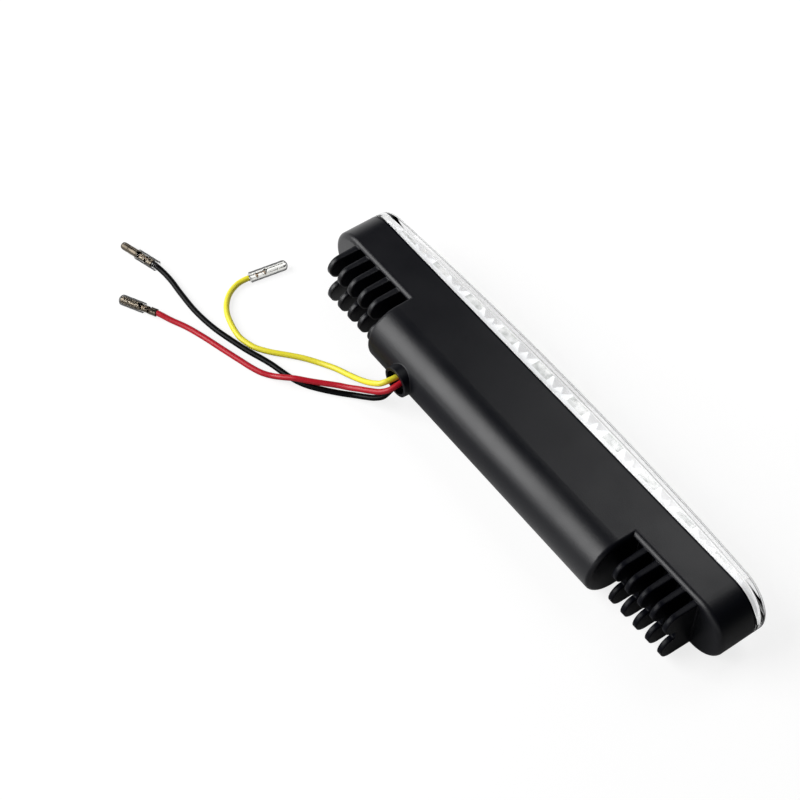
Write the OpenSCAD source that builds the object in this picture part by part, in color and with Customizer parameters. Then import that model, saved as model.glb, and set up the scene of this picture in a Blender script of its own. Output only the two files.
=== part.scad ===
// Daytime running light with turn signal: a slim sealed lamp that lies on its long flat side.
// X runs along the lamp, the lens faces -Y, the hump and the wires are at +Y, and Z is up.
// Depths inside the lamp are counted from the seam where the lens meets the housing.

/* [Housing] */
// Length of the lamp from end to end
lamp_l = 187; // [175:1:200]
// Height of the lamp, which sets its round ends
lamp_h = 22.3; // [21.5:0.1:23]
// Depth of the side walls from the seam to the rounded back edge
side_d = 11.5; // [11:0.1:13]
// Radius of the rounded back edge
edge_r = 1.8; // [1.2:0.1:2]
// Thickness of the moulded walls
wall = 2; // [1.8:0.1:2.2]

/* [Hump] */
// Length of the round hump that holds the driver
hump_l = 108.5; // [100:0.5:110]
// Flat stretch of the hump's sides before they turn round the back
hump_flat = 6.4; // [5:0.2:7]
// Rounding of the edges of the hump's two end faces
hump_round = 1.4; // [0.6:0.1:2]

/* [Fins] */
// Number of fins at each end
fin_count = 5; // [3:1:5]
// Distance from the lamp's end to the middle of the first fin
fin_start = 12.3; // [11:0.1:12.5]
// Distance from fin to fin
fin_pitch = 5.4; // [5:0.1:5.5]
// Thickness of a fin where it leaves the housing
fin_base_t = 2.2; // [1.8:0.1:2.4]
// Thickness of a fin at its back edge
fin_tip_t = 1.6; // [1.2:0.1:1.8]
// Radius of the two lobes on a fin's back edge
lobe_r = 4; // [3.4:0.1:4.2]
// How far the lobes' centres lie behind the back edge of the side walls
lobe_reach = 8.8; // [7:0.1:9.5]
// How far the fins stay inside the lamp's flat sides
fin_inset = 1.3; // [1.1:0.1:1.8]
// Depth of the pocket that the fins stand in
pocket_d = 2.5; // [1.5:0.1:2.6]

/* [Cable outlet] */
// Distance from the hump's end to the middle of the cable outlet
outlet_inset = 17.8; // [16:0.1:22]
// Outer diameter of the outlet at its mouth
outlet_d = 10.4; // [9.6:0.2:12]
// Diameter of the outlet's bore
outlet_bore = 8.2; // [8:0.1:8.6]
// How far the outlet stands out behind the hump
outlet_reach = 1.8; // [1.5:0.1:5]
// How far the rubber grommet sits inside the mouth
grommet_inset = 2.1; // [1:0.1:3]
// Length of the rubber grommet
grommet_l = 4; // [3:0.5:5]

/* [Lens] */
// Depth of the lens's side wall at the lamp's ends
lens_side = 4.4; // [3.8:0.1:5]
// How far the lens face bows forward in the middle
lens_crown = 3.1; // [2:0.1:4.5]
// Thickness of the lens
lens_wall = 1.8; // [1.5:0.1:1.9]
// Radius of the lens's front edge
lens_edge_r = 1.4; // [0.8:0.1:1.6]
// Width of the groove that takes the seal
groove_w = 1; // [0.8:0.1:1.1]
// Depth of the groove that takes the seal
groove_d = 1.6; // [1.4:0.1:2]
// Thickness of the seal in its groove
seal_t = 0.8; // [0.5:0.1:1]

/* [Reflector] */
// Number of LED cells along the lamp
cell_count = 10; // [6:2:10]
// Length left for the round recess at each end of the row of cells
recess_l = 10; // [9:0.1:11]
// Width of a cell between two prism bars
cell_w = 8.4; // [7:0.1:9]
// Depth from the seam to the front of the reflector's floor
reflector_floor = 3.5; // [3:0.1:4]
// Thickness of the reflector's floor
reflector_t = 1; // [0.8:0.1:1.1]
// Air between the prism bars and the lens
bar_gap = 0.6; // [0.3:0.1:1]
// Distance from the lamp's end to the fixing screws
screw_inset = 9.5; // [9:0.5:10.5]

/* [LEDs and boards] */
// Diameter of an LED's dome
led_d = 4.8; // [4.4:0.1:5]
// Distance between the two LEDs of a cell
led_gap = 5.8; // [5.7:0.1:6]
// Height of an LED above its board
led_h = 5.3; // [4.5:0.1:5.6]
// Thickness of the circuit boards
board_t = 1.2; // [1:0.1:1.6]
// Length of the driver board
driver_l = 64; // [60:1:70]
// Distance from the hump's end to the driver board
driver_inset = 9; // [8:0.5:12]
// Depth from the seam to the driver board
driver_depth = 14; // [13:0.5:15]

/* [Wires] */
// Diameter of a wire's insulation
wire_d = 1.9; // [1.5:0.1:1.9]
// Outer diameter of a bullet terminal
bullet_d = 3; // [2.6:0.1:3.2]
// Length of the bullet's plain barrel
bullet_l = 6.5; // [4:0.5:7]
// Length of the crimped barrel that holds the wire
crimp_l = 6.5; // [4:0.5:7]
// Thickness of the clear sleeves
sleeve_t = 0.3; // [0.2:0.05:0.35]

/* [Hidden] */
$fn = 48;
eps = 0.01;
// Clearance of parts that slide together
fit = 0.1;
mid_z = lamp_h / 2;
end_r = lamp_h / 2;
axis_x = lamp_l / 2 - end_r;
back_d = side_d + edge_r - 0.1;
hump_axis = side_d + hump_flat;
hump_d = hump_axis + end_r;
outlet_end = hump_d + outlet_reach;
outlet_x = hump_l / 2 - outlet_inset;
lens_d = lens_side + lens_crown;
// The lamp's middle from front to back is at Y = 0
seam_y = -(lens_d + outlet_end) / 2 + lens_d;

cavity_r = end_r - wall;
cavity_d = back_d - pocket_d - wall;
groove_r = end_r - wall / 2;
tongue_d = groove_d - seal_t;
outlet_base_d = outlet_d + 1.6;

lobe_axis = side_d + lobe_reach;
lobe_z = mid_z - fin_inset - lobe_r;
web_d = lobe_axis - 0.4;
lobe_back = lobe_axis + lobe_r;

board_front = reflector_floor + reflector_t + 1;
board_back = board_front + board_t;
board_r = cavity_r - 0.6;
reflector_r = cavity_r - 0.2;
rim_d = lens_side - lens_wall - 0.5;
floor_r = reflector_r - 1.9;
rim_t = 0.4;
cell_wall_t = 0.8;
wall_slant = 2.4;
cell_pitch = (lamp_l - 2 * recess_l) / cell_count;
bar_w = cell_pitch - cell_w;
bar_shoulder = 1;
bar_half_z = reflector_r - 0.7;
plate_front = 0.5;
plate_x = (cell_count - 1) / 2 * cell_pitch + cell_w / 2;
cup_d = 6.2;
screw_x = lamp_l / 2 - screw_inset;
shank_d = 2.8;
head_d = 4.8;
head_t = 1.8;
screw_hole_d = shank_d + 2 * fit;
post_d = 6;
// The pilot holes end in the floor of the fins' pocket
screw_end = back_d - pocket_d - 0.8;

flange_d = led_gap - 0.3;
flange_t = 0.8;
leg_d = 0.5;
leg_hole_d = 0.8;
leg_pitch = 2.54;
leg_l = 1;
pin_d = 0.8;
pin_hole_d = 1;
pin_pitch = 2.54;

driver_h = 2 * cavity_r - 1;
driver_x = hump_l / 2 - driver_inset - driver_l / 2;
// The axial parts lie along the driver board's long edges, at its end away from the outlet
axial_z = driver_h / 2 - 2.9;
axial_x = driver_x - driver_l / 2 + 5;
axial_pitch = 12;
// The regulator and the capacitor stand beside the link pins
regulator_x = pin_pitch + pin_d / 2 + 6.4;
capacitor_x = regulator_x + 9;
driver_back = driver_depth + board_t;
rail_l = 6;
rail_t = 1.2;
rail_h = 1.6;

grommet_front = outlet_end - grommet_inset;
grommet_d = outlet_bore;
grommet_y = seam_y + grommet_front;
crimp_neck = 0.9;

// The wires' routes from the grommet's outer face to the terminals. X and Y are counted from
// the middle of that face, and Z from the ground.
yellow_route = [
    [1.6, 0, mid_z - 0.2], [1.7, 2, mid_z - 0.1], [2.1, 3.9, mid_z - 0.35], [3, 5.4, 10],
    [4.9, 6.4, 8.8], [7.1, 7, 7.4], [9.7, 7.5, 6], [15.6, 8.5, 3.5], [21.5, 9.8, 1.8],
    [26.5, 12.1, 1], [31, 15.1, 1], [34.9, 18.4, 1], [38.2, 21.4, 1], [41.1, 23.7, 1],
    [43.7, 25.3, 1], [46.5, 26.2, 1], [49.7, 26.8, 1], [52.8, 26.6, 1], [56.4, 25.9, 1],
    [60.5, 24.6, 1], [64.2, 22.3, 1], [67.4, 18.6, 1], [68.7, 14.8, 1.3], [68.3, 11, 1.8]];
red_route = [
    [-0.8, 0, mid_z - 0.5], [-0.8, 2, mid_z - 0.7], [-0.4, 4.2, mid_z - 1.5], [1.6, 6.4, 8],
    [4.9, 8.1, 6.3], [8, 9.6, 5], [11.3, 11.5, 3.8], [14.7, 13.8, 3.2], [17.8, 16.6, 3],
    [21.2, 19.8, 3], [24.6, 22.8, 3], [27.6, 25.2, 2.2], [30.7, 27.2, 1.2], [33.7, 29.1, 1],
    [37.1, 30.5, 1], [41.8, 31.9, 1], [49.1, 34, 1], [57.2, 36.3, 1], [63.3, 38.4, 1],
    [68.4, 40.9, 1.2], [73, 43.2, 1.8]];
black_route = [
    [0.5, 0, mid_z - 2.5], [0.6, 2, mid_z - 2.7], [0.6, 3.9, mid_z - 3.8], [1.2, 5.6, 5.6],
    [3.2, 7.2, 3.9], [6.3, 8.8, 2.3], [9.5, 10.8, 1.3], [12.5, 13.4, 1], [15.6, 16.1, 1],
    [18.9, 18.7, 1], [22.6, 21.1, 1], [26.5, 22.7, 1], [30.7, 23.8, 1], [34.6, 24.7, 1],
    [38.7, 26, 1], [42.9, 27.5, 1], [49.4, 29.4, 1], [57.7, 31.4, 1], [66.7, 32.4, 1],
    [76.4, 32.2, 1], [83.5, 31.8, 1], [87.8, 32.1, 1.2], [91.7, 33.1, 1.8]];
// The way each terminal points on the ground, in degrees from +X
yellow_turn = -99.2;
red_turn = 28.5;
black_turn = 16.4;
// How far each sleeve is pushed along its terminal, and its length
yellow_sleeve_place = [0.5, 13];
red_sleeve_place = [4.5, 9];
black_sleeve_place = [-2, 8.5];

// How far the lens face stands in front of its side wall, at a place along the lamp
function crown(x) = lens_crown * (1 - pow(x / (lamp_l / 2), 2));
function cell_x(i) = (i - (cell_count + 1) / 2) * cell_pitch;
function fin_x(i) = lamp_l / 2 - fin_start - i * fin_pitch;

// Moves its children so that their y = 0 is the seam
module from_seam() translate([0, seam_y, 0]) children();

// Carries a section round the lamp: x is the distance from the middle plane, y the depth
module pill() {
    for (side = [-1, 1])
        translate([side * axis_x, 0, mid_z]) rotate([-90, 0, 0]) rotate([0, 0, -90 * side])
            rotate_extrude(angle = 180) children();
    for (flip = [0, 1])
        translate([-axis_x, 0, mid_z]) mirror([0, 0, flip]) rotate([90, 0, 90])
            linear_extrude(2 * axis_x) mirror([1, -1]) children();
}

// Extrudes an outline drawn in Y and Z along the lamp, from x to x + length
module along_x(x, length) translate([x, 0, 0]) rotate([90, 0, 90]) linear_extrude(length) children();

// A round bar that points to +Y, with its middle at x and z and its front at y
module bar_y(x, z, y, length, d)
    translate([x, y, z]) rotate([-90, 0, 0]) cylinder(d = d, h = length);

// Section of the outer shell: a straight side with a rounded back edge
module shell_section() {
    square([end_r - edge_r, back_d]);
    square([end_r, back_d - edge_r]);
    translate([end_r - edge_r, back_d - edge_r]) circle(edge_r);
}

// Outline of the hump across the lamp, r inside its skin
module hump_outline(r) {
    translate([0, mid_z - r]) square([hump_axis, 2 * r]);
    translate([hump_axis, mid_z]) circle(r);
}

// Outline of the hump seen from behind, with rounded corners
module hump_face() {
    square([hump_l - 2 * hump_round, lamp_h], center = true);
    square([hump_l, lamp_h - 2 * hump_round], center = true);
    for (side = [-1, 1], level = [-1, 1])
        translate([side * (hump_l / 2 - hump_round), level * (end_r - hump_round)]) circle(hump_round);
}

// The hump: a flat-sided block that turns round the back, with rounded ends
module hump_body() {
    translate([0, 0, mid_z]) rotate([-90, 0, 0]) linear_extrude(hump_axis) hump_face();
    translate([0, hump_axis, mid_z]) rotate([0, 90, 0]) rotate_extrude() rotate([0, 0, 90])
        intersection() {
            hump_face();
            translate([-hump_l, -end_r]) square([2 * hump_l, end_r]);
        }
}

// One fin: two lobes on a web, thinner towards its back edge
module fin() {
    intersection() {
        along_x(-fin_base_t / 2, fin_base_t) {
            translate([cavity_d + wall / 2, fin_inset])
                square([web_d - cavity_d - wall / 2, lamp_h - 2 * fin_inset]);
            for (side = [-1, 1]) {
                translate([lobe_axis, mid_z + side * lobe_z]) circle(lobe_r);
                translate([web_d - eps, mid_z + side * lobe_z - lobe_r])
                    square([lobe_axis - web_d + eps, 2 * lobe_r]);
            }
        }
        linear_extrude(lamp_h) polygon([
            [-fin_base_t / 2, 0], [-fin_base_t / 2, back_d - pocket_d], [-fin_tip_t / 2, lobe_back],
            [fin_tip_t / 2, lobe_back], [fin_base_t / 2, back_d - pocket_d], [fin_base_t / 2, 0]]);
    }
}

// The pocket behind the ridge that one end's fins stand in. It ends inside the outermost fin.
module fin_pocket() {
    outer = fin_x(0);
    translate([hump_l / 2, back_d - pocket_d, fin_inset])
        cube([outer - hump_l / 2, pocket_d + 1, lamp_h - 2 * fin_inset]);
}

// The short tube on the hump that the wires leave by
module outlet_tube()
    translate([outlet_x, hump_axis, mid_z]) rotate([-90, 0, 0])
        cylinder(d1 = outlet_base_d, d2 = outlet_d, h = outlet_end - hump_axis);

// Rails that hold the driver board by its long edges
module driver_rails() difference() {
    for (side = [-1, 1], level = [-1, 1])
        translate([driver_x + side * (driver_l - rail_l) / 2 - rail_l / 2,
                   driver_depth - rail_t, mid_z + level * (cavity_r - rail_h / 2 + 0.2) - rail_h / 2 - 0.2])
            cube([rail_l, board_t + 2 * rail_t, rail_h + 0.4]);
    translate([driver_x - driver_l, driver_depth, mid_z - driver_h / 2 - fit])
        cube([2 * driver_l, board_t, driver_h + 2 * fit]);
}

module rear_housing() color("#1c1c1e") from_seam() {
    difference() {
        union() {
            difference() {
                pill() shell_section();
                for (turn = [0, 1]) mirror([turn, 0, 0]) fin_pocket();
            }
            hump_body();
            outlet_tube();
            for (turn = [0, 1], i = [0:fin_count - 1])
                mirror([turn, 0, 0]) translate([fin_x(i), 0, 0]) fin();
        }
        translate([0, -eps, 0]) pill() square([cavity_r, cavity_d + eps]);
        along_x(wall - hump_l / 2, hump_l - 2 * wall) hump_outline(cavity_r);
        bar_y(outlet_x, mid_z, hump_axis, outlet_end, outlet_bore);
        translate([0, -eps, 0]) pill()
            translate([groove_r - groove_w / 2, 0]) square([groove_w, groove_d + eps]);
        for (side = [-1, 1])
            bar_y(side * screw_x, mid_z, cavity_d - eps, screw_end - cavity_d, shank_d);
    }
    driver_rails();
    for (side = [-1, 1]) {
        difference() {
            bar_y(side * screw_x, mid_z, board_back, cavity_d - board_back + eps, post_d);
            bar_y(side * screw_x, mid_z, 0, screw_end, shank_d);
        }
        for (level = [-1, 1])
            bar_y(side * (hump_l / 2 + 2), mid_z + level * (board_r - 2), board_back,
                  cavity_d - board_back + eps, 2.4);
    }
}

// Points of the lamp's outline, inset from its side, as [x, z]. They go round from the left end.
arc_steps = 12;
side_steps = 12;
half_outline = concat(
    [for (i = [0:arc_steps]) let (a = 175 - i * 85 / arc_steps) [-1, a]],
    [for (i = [1:side_steps - 1]) [0, i / side_steps]],
    [for (i = [0:arc_steps]) let (a = 90 - i * 85 / arc_steps) [1, a]]);
outline_n = 2 * len(half_outline);
function outline_point(i, inset) =
    let (top = i < len(half_outline), k = top ? i : outline_n - 1 - i, p = half_outline[k],
         up = top ? 1 : -1, r = end_r - inset)
    p[0] == 0 ? [-axis_x + 2 * axis_x * p[1], mid_z + up * r]
              : [p[0] * axis_x + r * cos(p[1]), mid_z + up * r * sin(p[1])];

// Section of the lens as [inset, depth, share of the crown]: out over the edge, back to the
// seam, round the tongue and forward again on the inside
edge_steps = 5;
inner_edge_r = 0.6;
lens_section = concat(
    [for (i = [0:edge_steps]) let (a = 90 - i * 90 / edge_steps)
        [lens_edge_r * (1 - cos(a)), -lens_side + lens_edge_r * (1 - sin(a)), 1]],
    [[0, 0, 0], [end_r - groove_r - groove_w / 2 + fit, 0, 0],
     [end_r - groove_r - groove_w / 2 + fit, tongue_d, 0],
     [end_r - groove_r + groove_w / 2 - fit, tongue_d, 0],
     [end_r - groove_r + groove_w / 2 - fit, 0, 0], [lens_wall, 0, 0]],
    [for (i = [0:2]) let (a = i * 45)
        [lens_wall + inner_edge_r * (1 - cos(a)),
         lens_wall - lens_side + inner_edge_r * (1 - sin(a)), 1]]);

module lens_cover() color("#e8f0f4", 0.4) from_seam() {
    n = outline_n;
    rings = len(lens_section);
    points = [for (s = lens_section, i = [0:n - 1])
        let (p = outline_point(i, s[0])) [p[0], s[1] - s[2] * crown(p[0]), p[1]]];
    walls = [for (j = [0:rings - 2], i = [0:n - 1]) let (k = (i + 1) % n)
        each [[j * n + i, (j + 1) * n + i, (j + 1) * n + k], [j * n + i, (j + 1) * n + k, j * n + k]]];
    faces = [for (i = [0:n / 2 - 2]) each [[i, i + 1, n - 2 - i], [i, n - 2 - i, n - 1 - i]]];
    last = (rings - 1) * n;
    inner = [for (f = faces) [last + f[2], last + f[1], last + f[0]]];
    polyhedron(points, concat(faces, walls, inner), convexity = 6);
}

module lens_seal() color("#2b2b2b") from_seam() pill()
    translate([groove_r - groove_w / 2, tongue_d]) square([groove_w, seal_t]);

// A bright bar between two cells: a roof whose ridge follows the inside of the lens
module prism_bar(x) {
    apex = -(lens_side + crown(x)) + lens_wall + bar_gap;
    translate([x, 0, mid_z - bar_half_z]) linear_extrude(2 * bar_half_z) polygon([
        [-bar_w / 2, reflector_floor + eps], [-bar_w / 2, bar_shoulder], [0, apex],
        [bar_w / 2, bar_shoulder], [bar_w / 2, reflector_floor + eps]]);
}

// The smoky wall between a cell and the lens's long side, a plate with slanted ends. Level is 1
// at the top and -1 at the bottom.
module cell_wall(x, level) {
    base = cell_w / 2 + wall_slant;
    front = lens_side + crown(x) - lens_wall - bar_gap;
    translate([x, 0, mid_z + level * (reflector_r - cell_wall_t / 2) - cell_wall_t / 2])
        linear_extrude(cell_wall_t) polygon([
            [-base, eps - rim_d], [-cell_w / 2, -front], [cell_w / 2, -front], [base, eps - rim_d]]);
}

module reflector() color("#d8dade") from_seam() difference() {
    union() {
        pill() polygon([
            [0, reflector_floor], [floor_r, reflector_floor], [reflector_r - rim_t, -rim_d],
            [reflector_r, -rim_d], [reflector_r, reflector_floor + reflector_t],
            [0, reflector_floor + reflector_t]]);
        for (i = [1:cell_count - 1]) prism_bar(cell_x(i) + cell_pitch / 2);
        for (i = [1:cell_count], level = [-1, 1]) cell_wall(cell_x(i), level);
        for (turn = [0, 1]) mirror([turn, 0, 0]) {
            intersection() {
                pill() translate([0, plate_front]) square([floor_r + 0.8, reflector_floor - plate_front]);
                translate([plate_x, 0, 0]) cube([lamp_l, reflector_floor + eps, lamp_h]);
            }
            bar_y(screw_x, mid_z, reflector_floor + reflector_t - eps,
                  board_front - reflector_floor - reflector_t + eps, post_d);
        }
    }
    for (side = [-1, 1]) {
        bar_y(side * screw_x, mid_z, 0, board_front + 1, screw_hole_d);
        translate([side * screw_x, -2, mid_z]) rotate([-90, 30, 0])
            cylinder(d = cup_d, h = reflector_floor + 2, $fn = 6);
    }
    for (i = [1:cell_count], level = [-1, 1])
        bar_y(cell_x(i), mid_z + level * led_gap / 2, reflector_floor - 1, reflector_t + 2,
              led_d + 2 * fit);
}

module reflector_screw(side) color("#b4b6b8") from_seam() {
    bar_y(side * screw_x, mid_z, reflector_floor - head_t, head_t, head_d);
    bar_y(side * screw_x, mid_z, reflector_floor - eps, screw_end - reflector_floor - 0.5, shank_d);
}
module left_reflector_screw() reflector_screw(-1);
module right_reflector_screw() reflector_screw(1);

module led_board() color("#e4e6e0") from_seam() difference() {
    translate([0, board_front, 0]) pill() square([board_r, board_t]);
    for (side = [-1, 1]) bar_y(side * screw_x, mid_z, board_front - 1, board_t + 2, screw_hole_d);
    for (i = [1:cell_count], level = [-1, 1], leg = [-1, 1])
        bar_y(cell_x(i) + leg * leg_pitch / 2, mid_z + level * led_gap / 2, board_front - 1,
              board_t + 2, leg_hole_d);
    for (k = [-1:1]) bar_y(k * pin_pitch, mid_z, board_front - 1, board_t + 2, pin_hole_d);
}

// A clear round LED with its flange and two legs, which faces -Y
module led(x, z) from_seam() {
    translate([x, board_front, z]) rotate([90, 0, 0]) {
        cylinder(d = flange_d, h = flange_t);
        cylinder(d = led_d, h = led_h - led_d / 2);
        translate([0, 0, led_h - led_d / 2]) sphere(d = led_d);
    }
    for (leg = [-1, 1])
        bar_y(x + leg * leg_pitch / 2, z, board_front - eps, board_t + leg_l, leg_d);
}
module white_led(i) color("#f4f6f0") led(cell_x(i), mid_z + led_gap / 2);
module amber_led(i) color("#e8c070") led(cell_x(i), mid_z - led_gap / 2);

module driver_board() color("#2c6b46") from_seam() difference() {
    translate([driver_x - driver_l / 2, driver_depth, mid_z - driver_h / 2])
        cube([driver_l, board_t, driver_h]);
    for (k = [-1:1]) bar_y(k * pin_pitch, mid_z, driver_depth - 1, board_t + 2, pin_hole_d);
    for (p = axial_places, leg = [-1, 1])
        bar_y(p[0] + leg * p[2], p[1], driver_depth - 1, board_t + 2, leg_hole_d);
}

module regulator() color("#26262a") from_seam() {
    translate([regulator_x - 4, driver_back, mid_z - 3.3]) cube([6.6, 2.3, 6.6]);
    translate([regulator_x - 5.2, driver_back, mid_z - 2.7]) cube([1.3, 0.6, 5.4]);
    for (z = [-2.3, 2.3]) translate([regulator_x + 2.5, driver_back, mid_z + z - 0.4]) cube([2, 0.5, 0.8]);
}

module input_capacitor() color("#30343c") from_seam() {
    bar_y(capacitor_x, mid_z, driver_back, 7.2, 6.3);
    bar_y(capacitor_x, mid_z, driver_back + 7.2 - eps, 0.3, 5.4);
}

// Axial parts on the driver board as [x, z, half the distance between the legs]
axial_places = [
    [axial_x, mid_z + axial_z, 4.4], [axial_x, mid_z - axial_z, 4.4],
    [axial_x + axial_pitch, mid_z + axial_z, 4.6], [axial_x + axial_pitch, mid_z - axial_z, 4.6]];

// A round body with a bent leg at each end, lying along X on the back of the driver board
module axial_part(place, body_l, body_d) from_seam() {
    y = driver_back + body_d / 2 + 0.1;
    translate([place[0] - body_l / 2, y, place[1]]) rotate([0, 90, 0])
        cylinder(d = body_d, h = body_l);
    translate([place[0] - place[2], y, place[1]]) rotate([0, 90, 0])
        cylinder(d = leg_d, h = 2 * place[2]);
    for (leg = [-1, 1]) {
        translate([place[0] + leg * place[2], y, place[1]]) sphere(d = leg_d);
        bar_y(place[0] + leg * place[2], place[1], driver_depth - 0.6, y - driver_depth + 0.6, leg_d);
    }
}
module supply_diode() color("#1e1e20") axial_part(axial_places[0], 5.2, 2.7);
module turn_diode() color("#1e1e20") axial_part(axial_places[1], 5.2, 2.7);
module white_resistor() color("#c8b088") axial_part(axial_places[2], 6.3, 2.4);
module amber_resistor() color("#b89a70") axial_part(axial_places[3], 6.3, 2.4);

// A pin that joins the LED board to the driver board
module link_pin(k) color("#c8a040") from_seam()
    bar_y(k * pin_pitch, mid_z, board_front - 0.4, driver_back - board_front + 1, pin_d);
module white_link_pin() link_pin(-1);
module amber_link_pin() link_pin(0);
module ground_link_pin() link_pin(1);

module cable_grommet() color("#161616") from_seam() difference() {
    bar_y(outlet_x, mid_z, grommet_front - grommet_l, grommet_l, grommet_d);
    for (route = [yellow_route, red_route, black_route])
        bar_y(outlet_x + route[0][0], route[0][2], grommet_front - grommet_l - 1, grommet_l + 2,
              wire_d);
}

// A wire's stretch inside the lamp, from the driver board to the outer face of the grommet
module inner_lead(route) from_seam()
    bar_y(outlet_x + route[0][0], route[0][2], driver_back, grommet_front - driver_back, wire_d);
module yellow_inner_lead() color("#e8d820") inner_lead(yellow_route);
module red_inner_lead() color("#d02830") inner_lead(red_route);
module black_inner_lead() color("#18181a") inner_lead(black_route);

// A round tube of eight sides swept along a route, with its end faces square to the route
function unit(v) = v / norm(v);
function heading(path, i) =
    i == 0 ? [0, 1, 0] : unit(path[min(i + 1, len(path) - 1)] - path[i - 1]);
module swept_tube(path, d) {
    sides = 8;
    n = len(path);
    points = [for (i = [0:n - 1])
        let (t = heading(path, i), u = unit(cross(t, abs(t[2]) > 0.9 ? [1, 0, 0] : [0, 0, 1])),
             v = cross(u, t))
        for (k = [0:sides - 1]) path[i] + d / 2 * (cos(k * 45 + 22.5) * u + sin(k * 45 + 22.5) * v)];
    polyhedron(points, concat(
        [[for (k = [0:sides - 1]) k]],
        [for (i = [0:n - 2], k = [0:sides - 1]) let (m = (k + 1) % sides)
            [i * sides + k, (i + 1) * sides + k, (i + 1) * sides + m, i * sides + m]],
        [[for (k = [sides - 1:-1:0]) (n - 1) * sides + k]]));
}
module from_grommet() translate([outlet_x, grommet_y, 0]) children();
module yellow_wire() color("#f0e030") from_grommet() swept_tube(yellow_route, wire_d);
module red_wire() color("#d83040") from_grommet() swept_tube(red_route, wire_d);
module black_wire() color("#1a1a1c") from_grommet() swept_tube(black_route, wire_d);

// A crimped bullet terminal at the end of a route, turned to point along the ground
module at_end(route, turn)
    from_grommet() translate(route[len(route) - 1]) rotate([0, 90, turn]) children();
module terminal(route, turn) color("#b8a888") at_end(route, turn) {
    cylinder(d = bullet_d, h = crimp_l - crimp_neck + eps);
    translate([0, 0, crimp_l - crimp_neck]) cylinder(d = bullet_d - 0.8, h = crimp_neck + eps);
    translate([0, 0, crimp_l]) difference() {
        union() {
            cylinder(d = bullet_d, h = bullet_l - 0.6);
            translate([0, 0, bullet_l - 0.6 - eps])
                cylinder(d1 = bullet_d, d2 = bullet_d - 0.8, h = 0.6 + eps);
        }
        translate([0, 0, 0.8]) cylinder(d = bullet_d - 1.2, h = bullet_l);
    }
}
module yellow_terminal() terminal(yellow_route, yellow_turn);
module red_terminal() terminal(red_route, red_turn);
module black_terminal() terminal(black_route, black_turn);

module sleeve(route, turn, place) color("#dfe4e6", 0.5) at_end(route, turn)
    translate([0, 0, place[0]]) difference() {
        cylinder(d = bullet_d + 2 * sleeve_t, h = place[1]);
        translate([0, 0, -1]) cylinder(d = bullet_d, h = place[1] + 2);
    }
module yellow_sleeve() sleeve(yellow_route, yellow_turn, yellow_sleeve_place);
module red_sleeve() sleeve(red_route, red_turn, red_sleeve_place);
module black_sleeve() sleeve(black_route, black_turn, black_sleeve_place);

rear_housing();
lens_cover();
lens_seal();
reflector();
left_reflector_screw();
right_reflector_screw();
led_board();
driver_board();
regulator();
input_capacitor();
supply_diode();
turn_diode();
white_resistor();
amber_resistor();
white_link_pin();
amber_link_pin();
ground_link_pin();
cable_grommet();
yellow_inner_lead();
red_inner_lead();
black_inner_lead();
yellow_wire();
red_wire();
black_wire();
yellow_terminal();
red_terminal();
black_terminal();
yellow_sleeve();
red_sleeve();
black_sleeve();
for (i = [1:cell_count]) white_led(i);
for (i = [1:cell_count]) amber_led(i);
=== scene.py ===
"""A slim daytime running light, lying on its long flat side with its three wires on the ground."""

import bmesh
import bpy
import numpy as np
from mathutils import Matrix, Vector


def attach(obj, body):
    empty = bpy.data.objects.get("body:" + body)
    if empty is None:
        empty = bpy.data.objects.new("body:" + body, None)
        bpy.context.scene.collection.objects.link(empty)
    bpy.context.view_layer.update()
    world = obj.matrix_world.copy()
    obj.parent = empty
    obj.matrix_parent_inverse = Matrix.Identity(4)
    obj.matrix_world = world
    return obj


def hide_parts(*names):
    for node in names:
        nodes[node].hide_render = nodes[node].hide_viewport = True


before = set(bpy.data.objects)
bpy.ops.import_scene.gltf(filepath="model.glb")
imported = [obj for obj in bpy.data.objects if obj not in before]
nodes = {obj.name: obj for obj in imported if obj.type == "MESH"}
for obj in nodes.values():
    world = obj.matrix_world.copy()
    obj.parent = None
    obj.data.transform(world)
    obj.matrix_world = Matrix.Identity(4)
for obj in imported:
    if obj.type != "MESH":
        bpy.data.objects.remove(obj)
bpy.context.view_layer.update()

MM = 0.001

# Sizes of the lamp that the pieces made here share with the solids, in metres
lamp_l = 0.187
lamp_h = 0.0223
mid_z = lamp_h / 2
end_r = lamp_h / 2
axis_x = lamp_l / 2 - end_r
seam_y = -0.011675
lens_side = 0.0044
lens_crown = 0.0031
lens_wall = 0.0018
cell_count = 10
cell_pitch = 0.0167
cell_w = 0.0084
bar_w = cell_pitch - cell_w
bar_half_z = 0.00825
cells_end = (cell_count * cell_pitch - bar_w) / 2
bar_shoulder = 0.001
bar_gap = 0.0006
board_front = 0.0055
led_gap = 0.0058
wire_d = 0.0019
bullet_d = 0.003
terminal_l = 0.013

# The fins stand between two distances from the middle, behind the body and below their ridge
fins_from = 0.0545
fins_to = 0.0825
fins_behind = seam_y + 0.0105
fins_below = 0.0211


# Camera
def place_camera():
    """The photograph's camera: a long lens that looks down on the lamp's back from its outlet side."""
    data = bpy.data.cameras.new("camera")
    data.sensor_width = 36
    data.lens = 93.074
    data.clip_start = 0.01
    camera = bpy.data.objects.new("camera", data)
    bpy.context.scene.collection.objects.link(camera)
    right = Vector((-0.59018, -0.807094, 0.016912))
    up = Vector((0.644965, -0.458819, 0.611151))
    back = Vector((-0.485497, 0.371597, 0.791334))
    spot = Vector((-0.275951, 0.256283, 0.510048))
    camera.matrix_world = Matrix.Translation(spot) @ Matrix((right, up, back)).transposed().to_4x4()
    bpy.context.scene.camera = camera


place_camera()
bpy.context.scene.view_settings.view_transform = "Standard"


# Meshes from grids of points
weld = 2e-7


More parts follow.
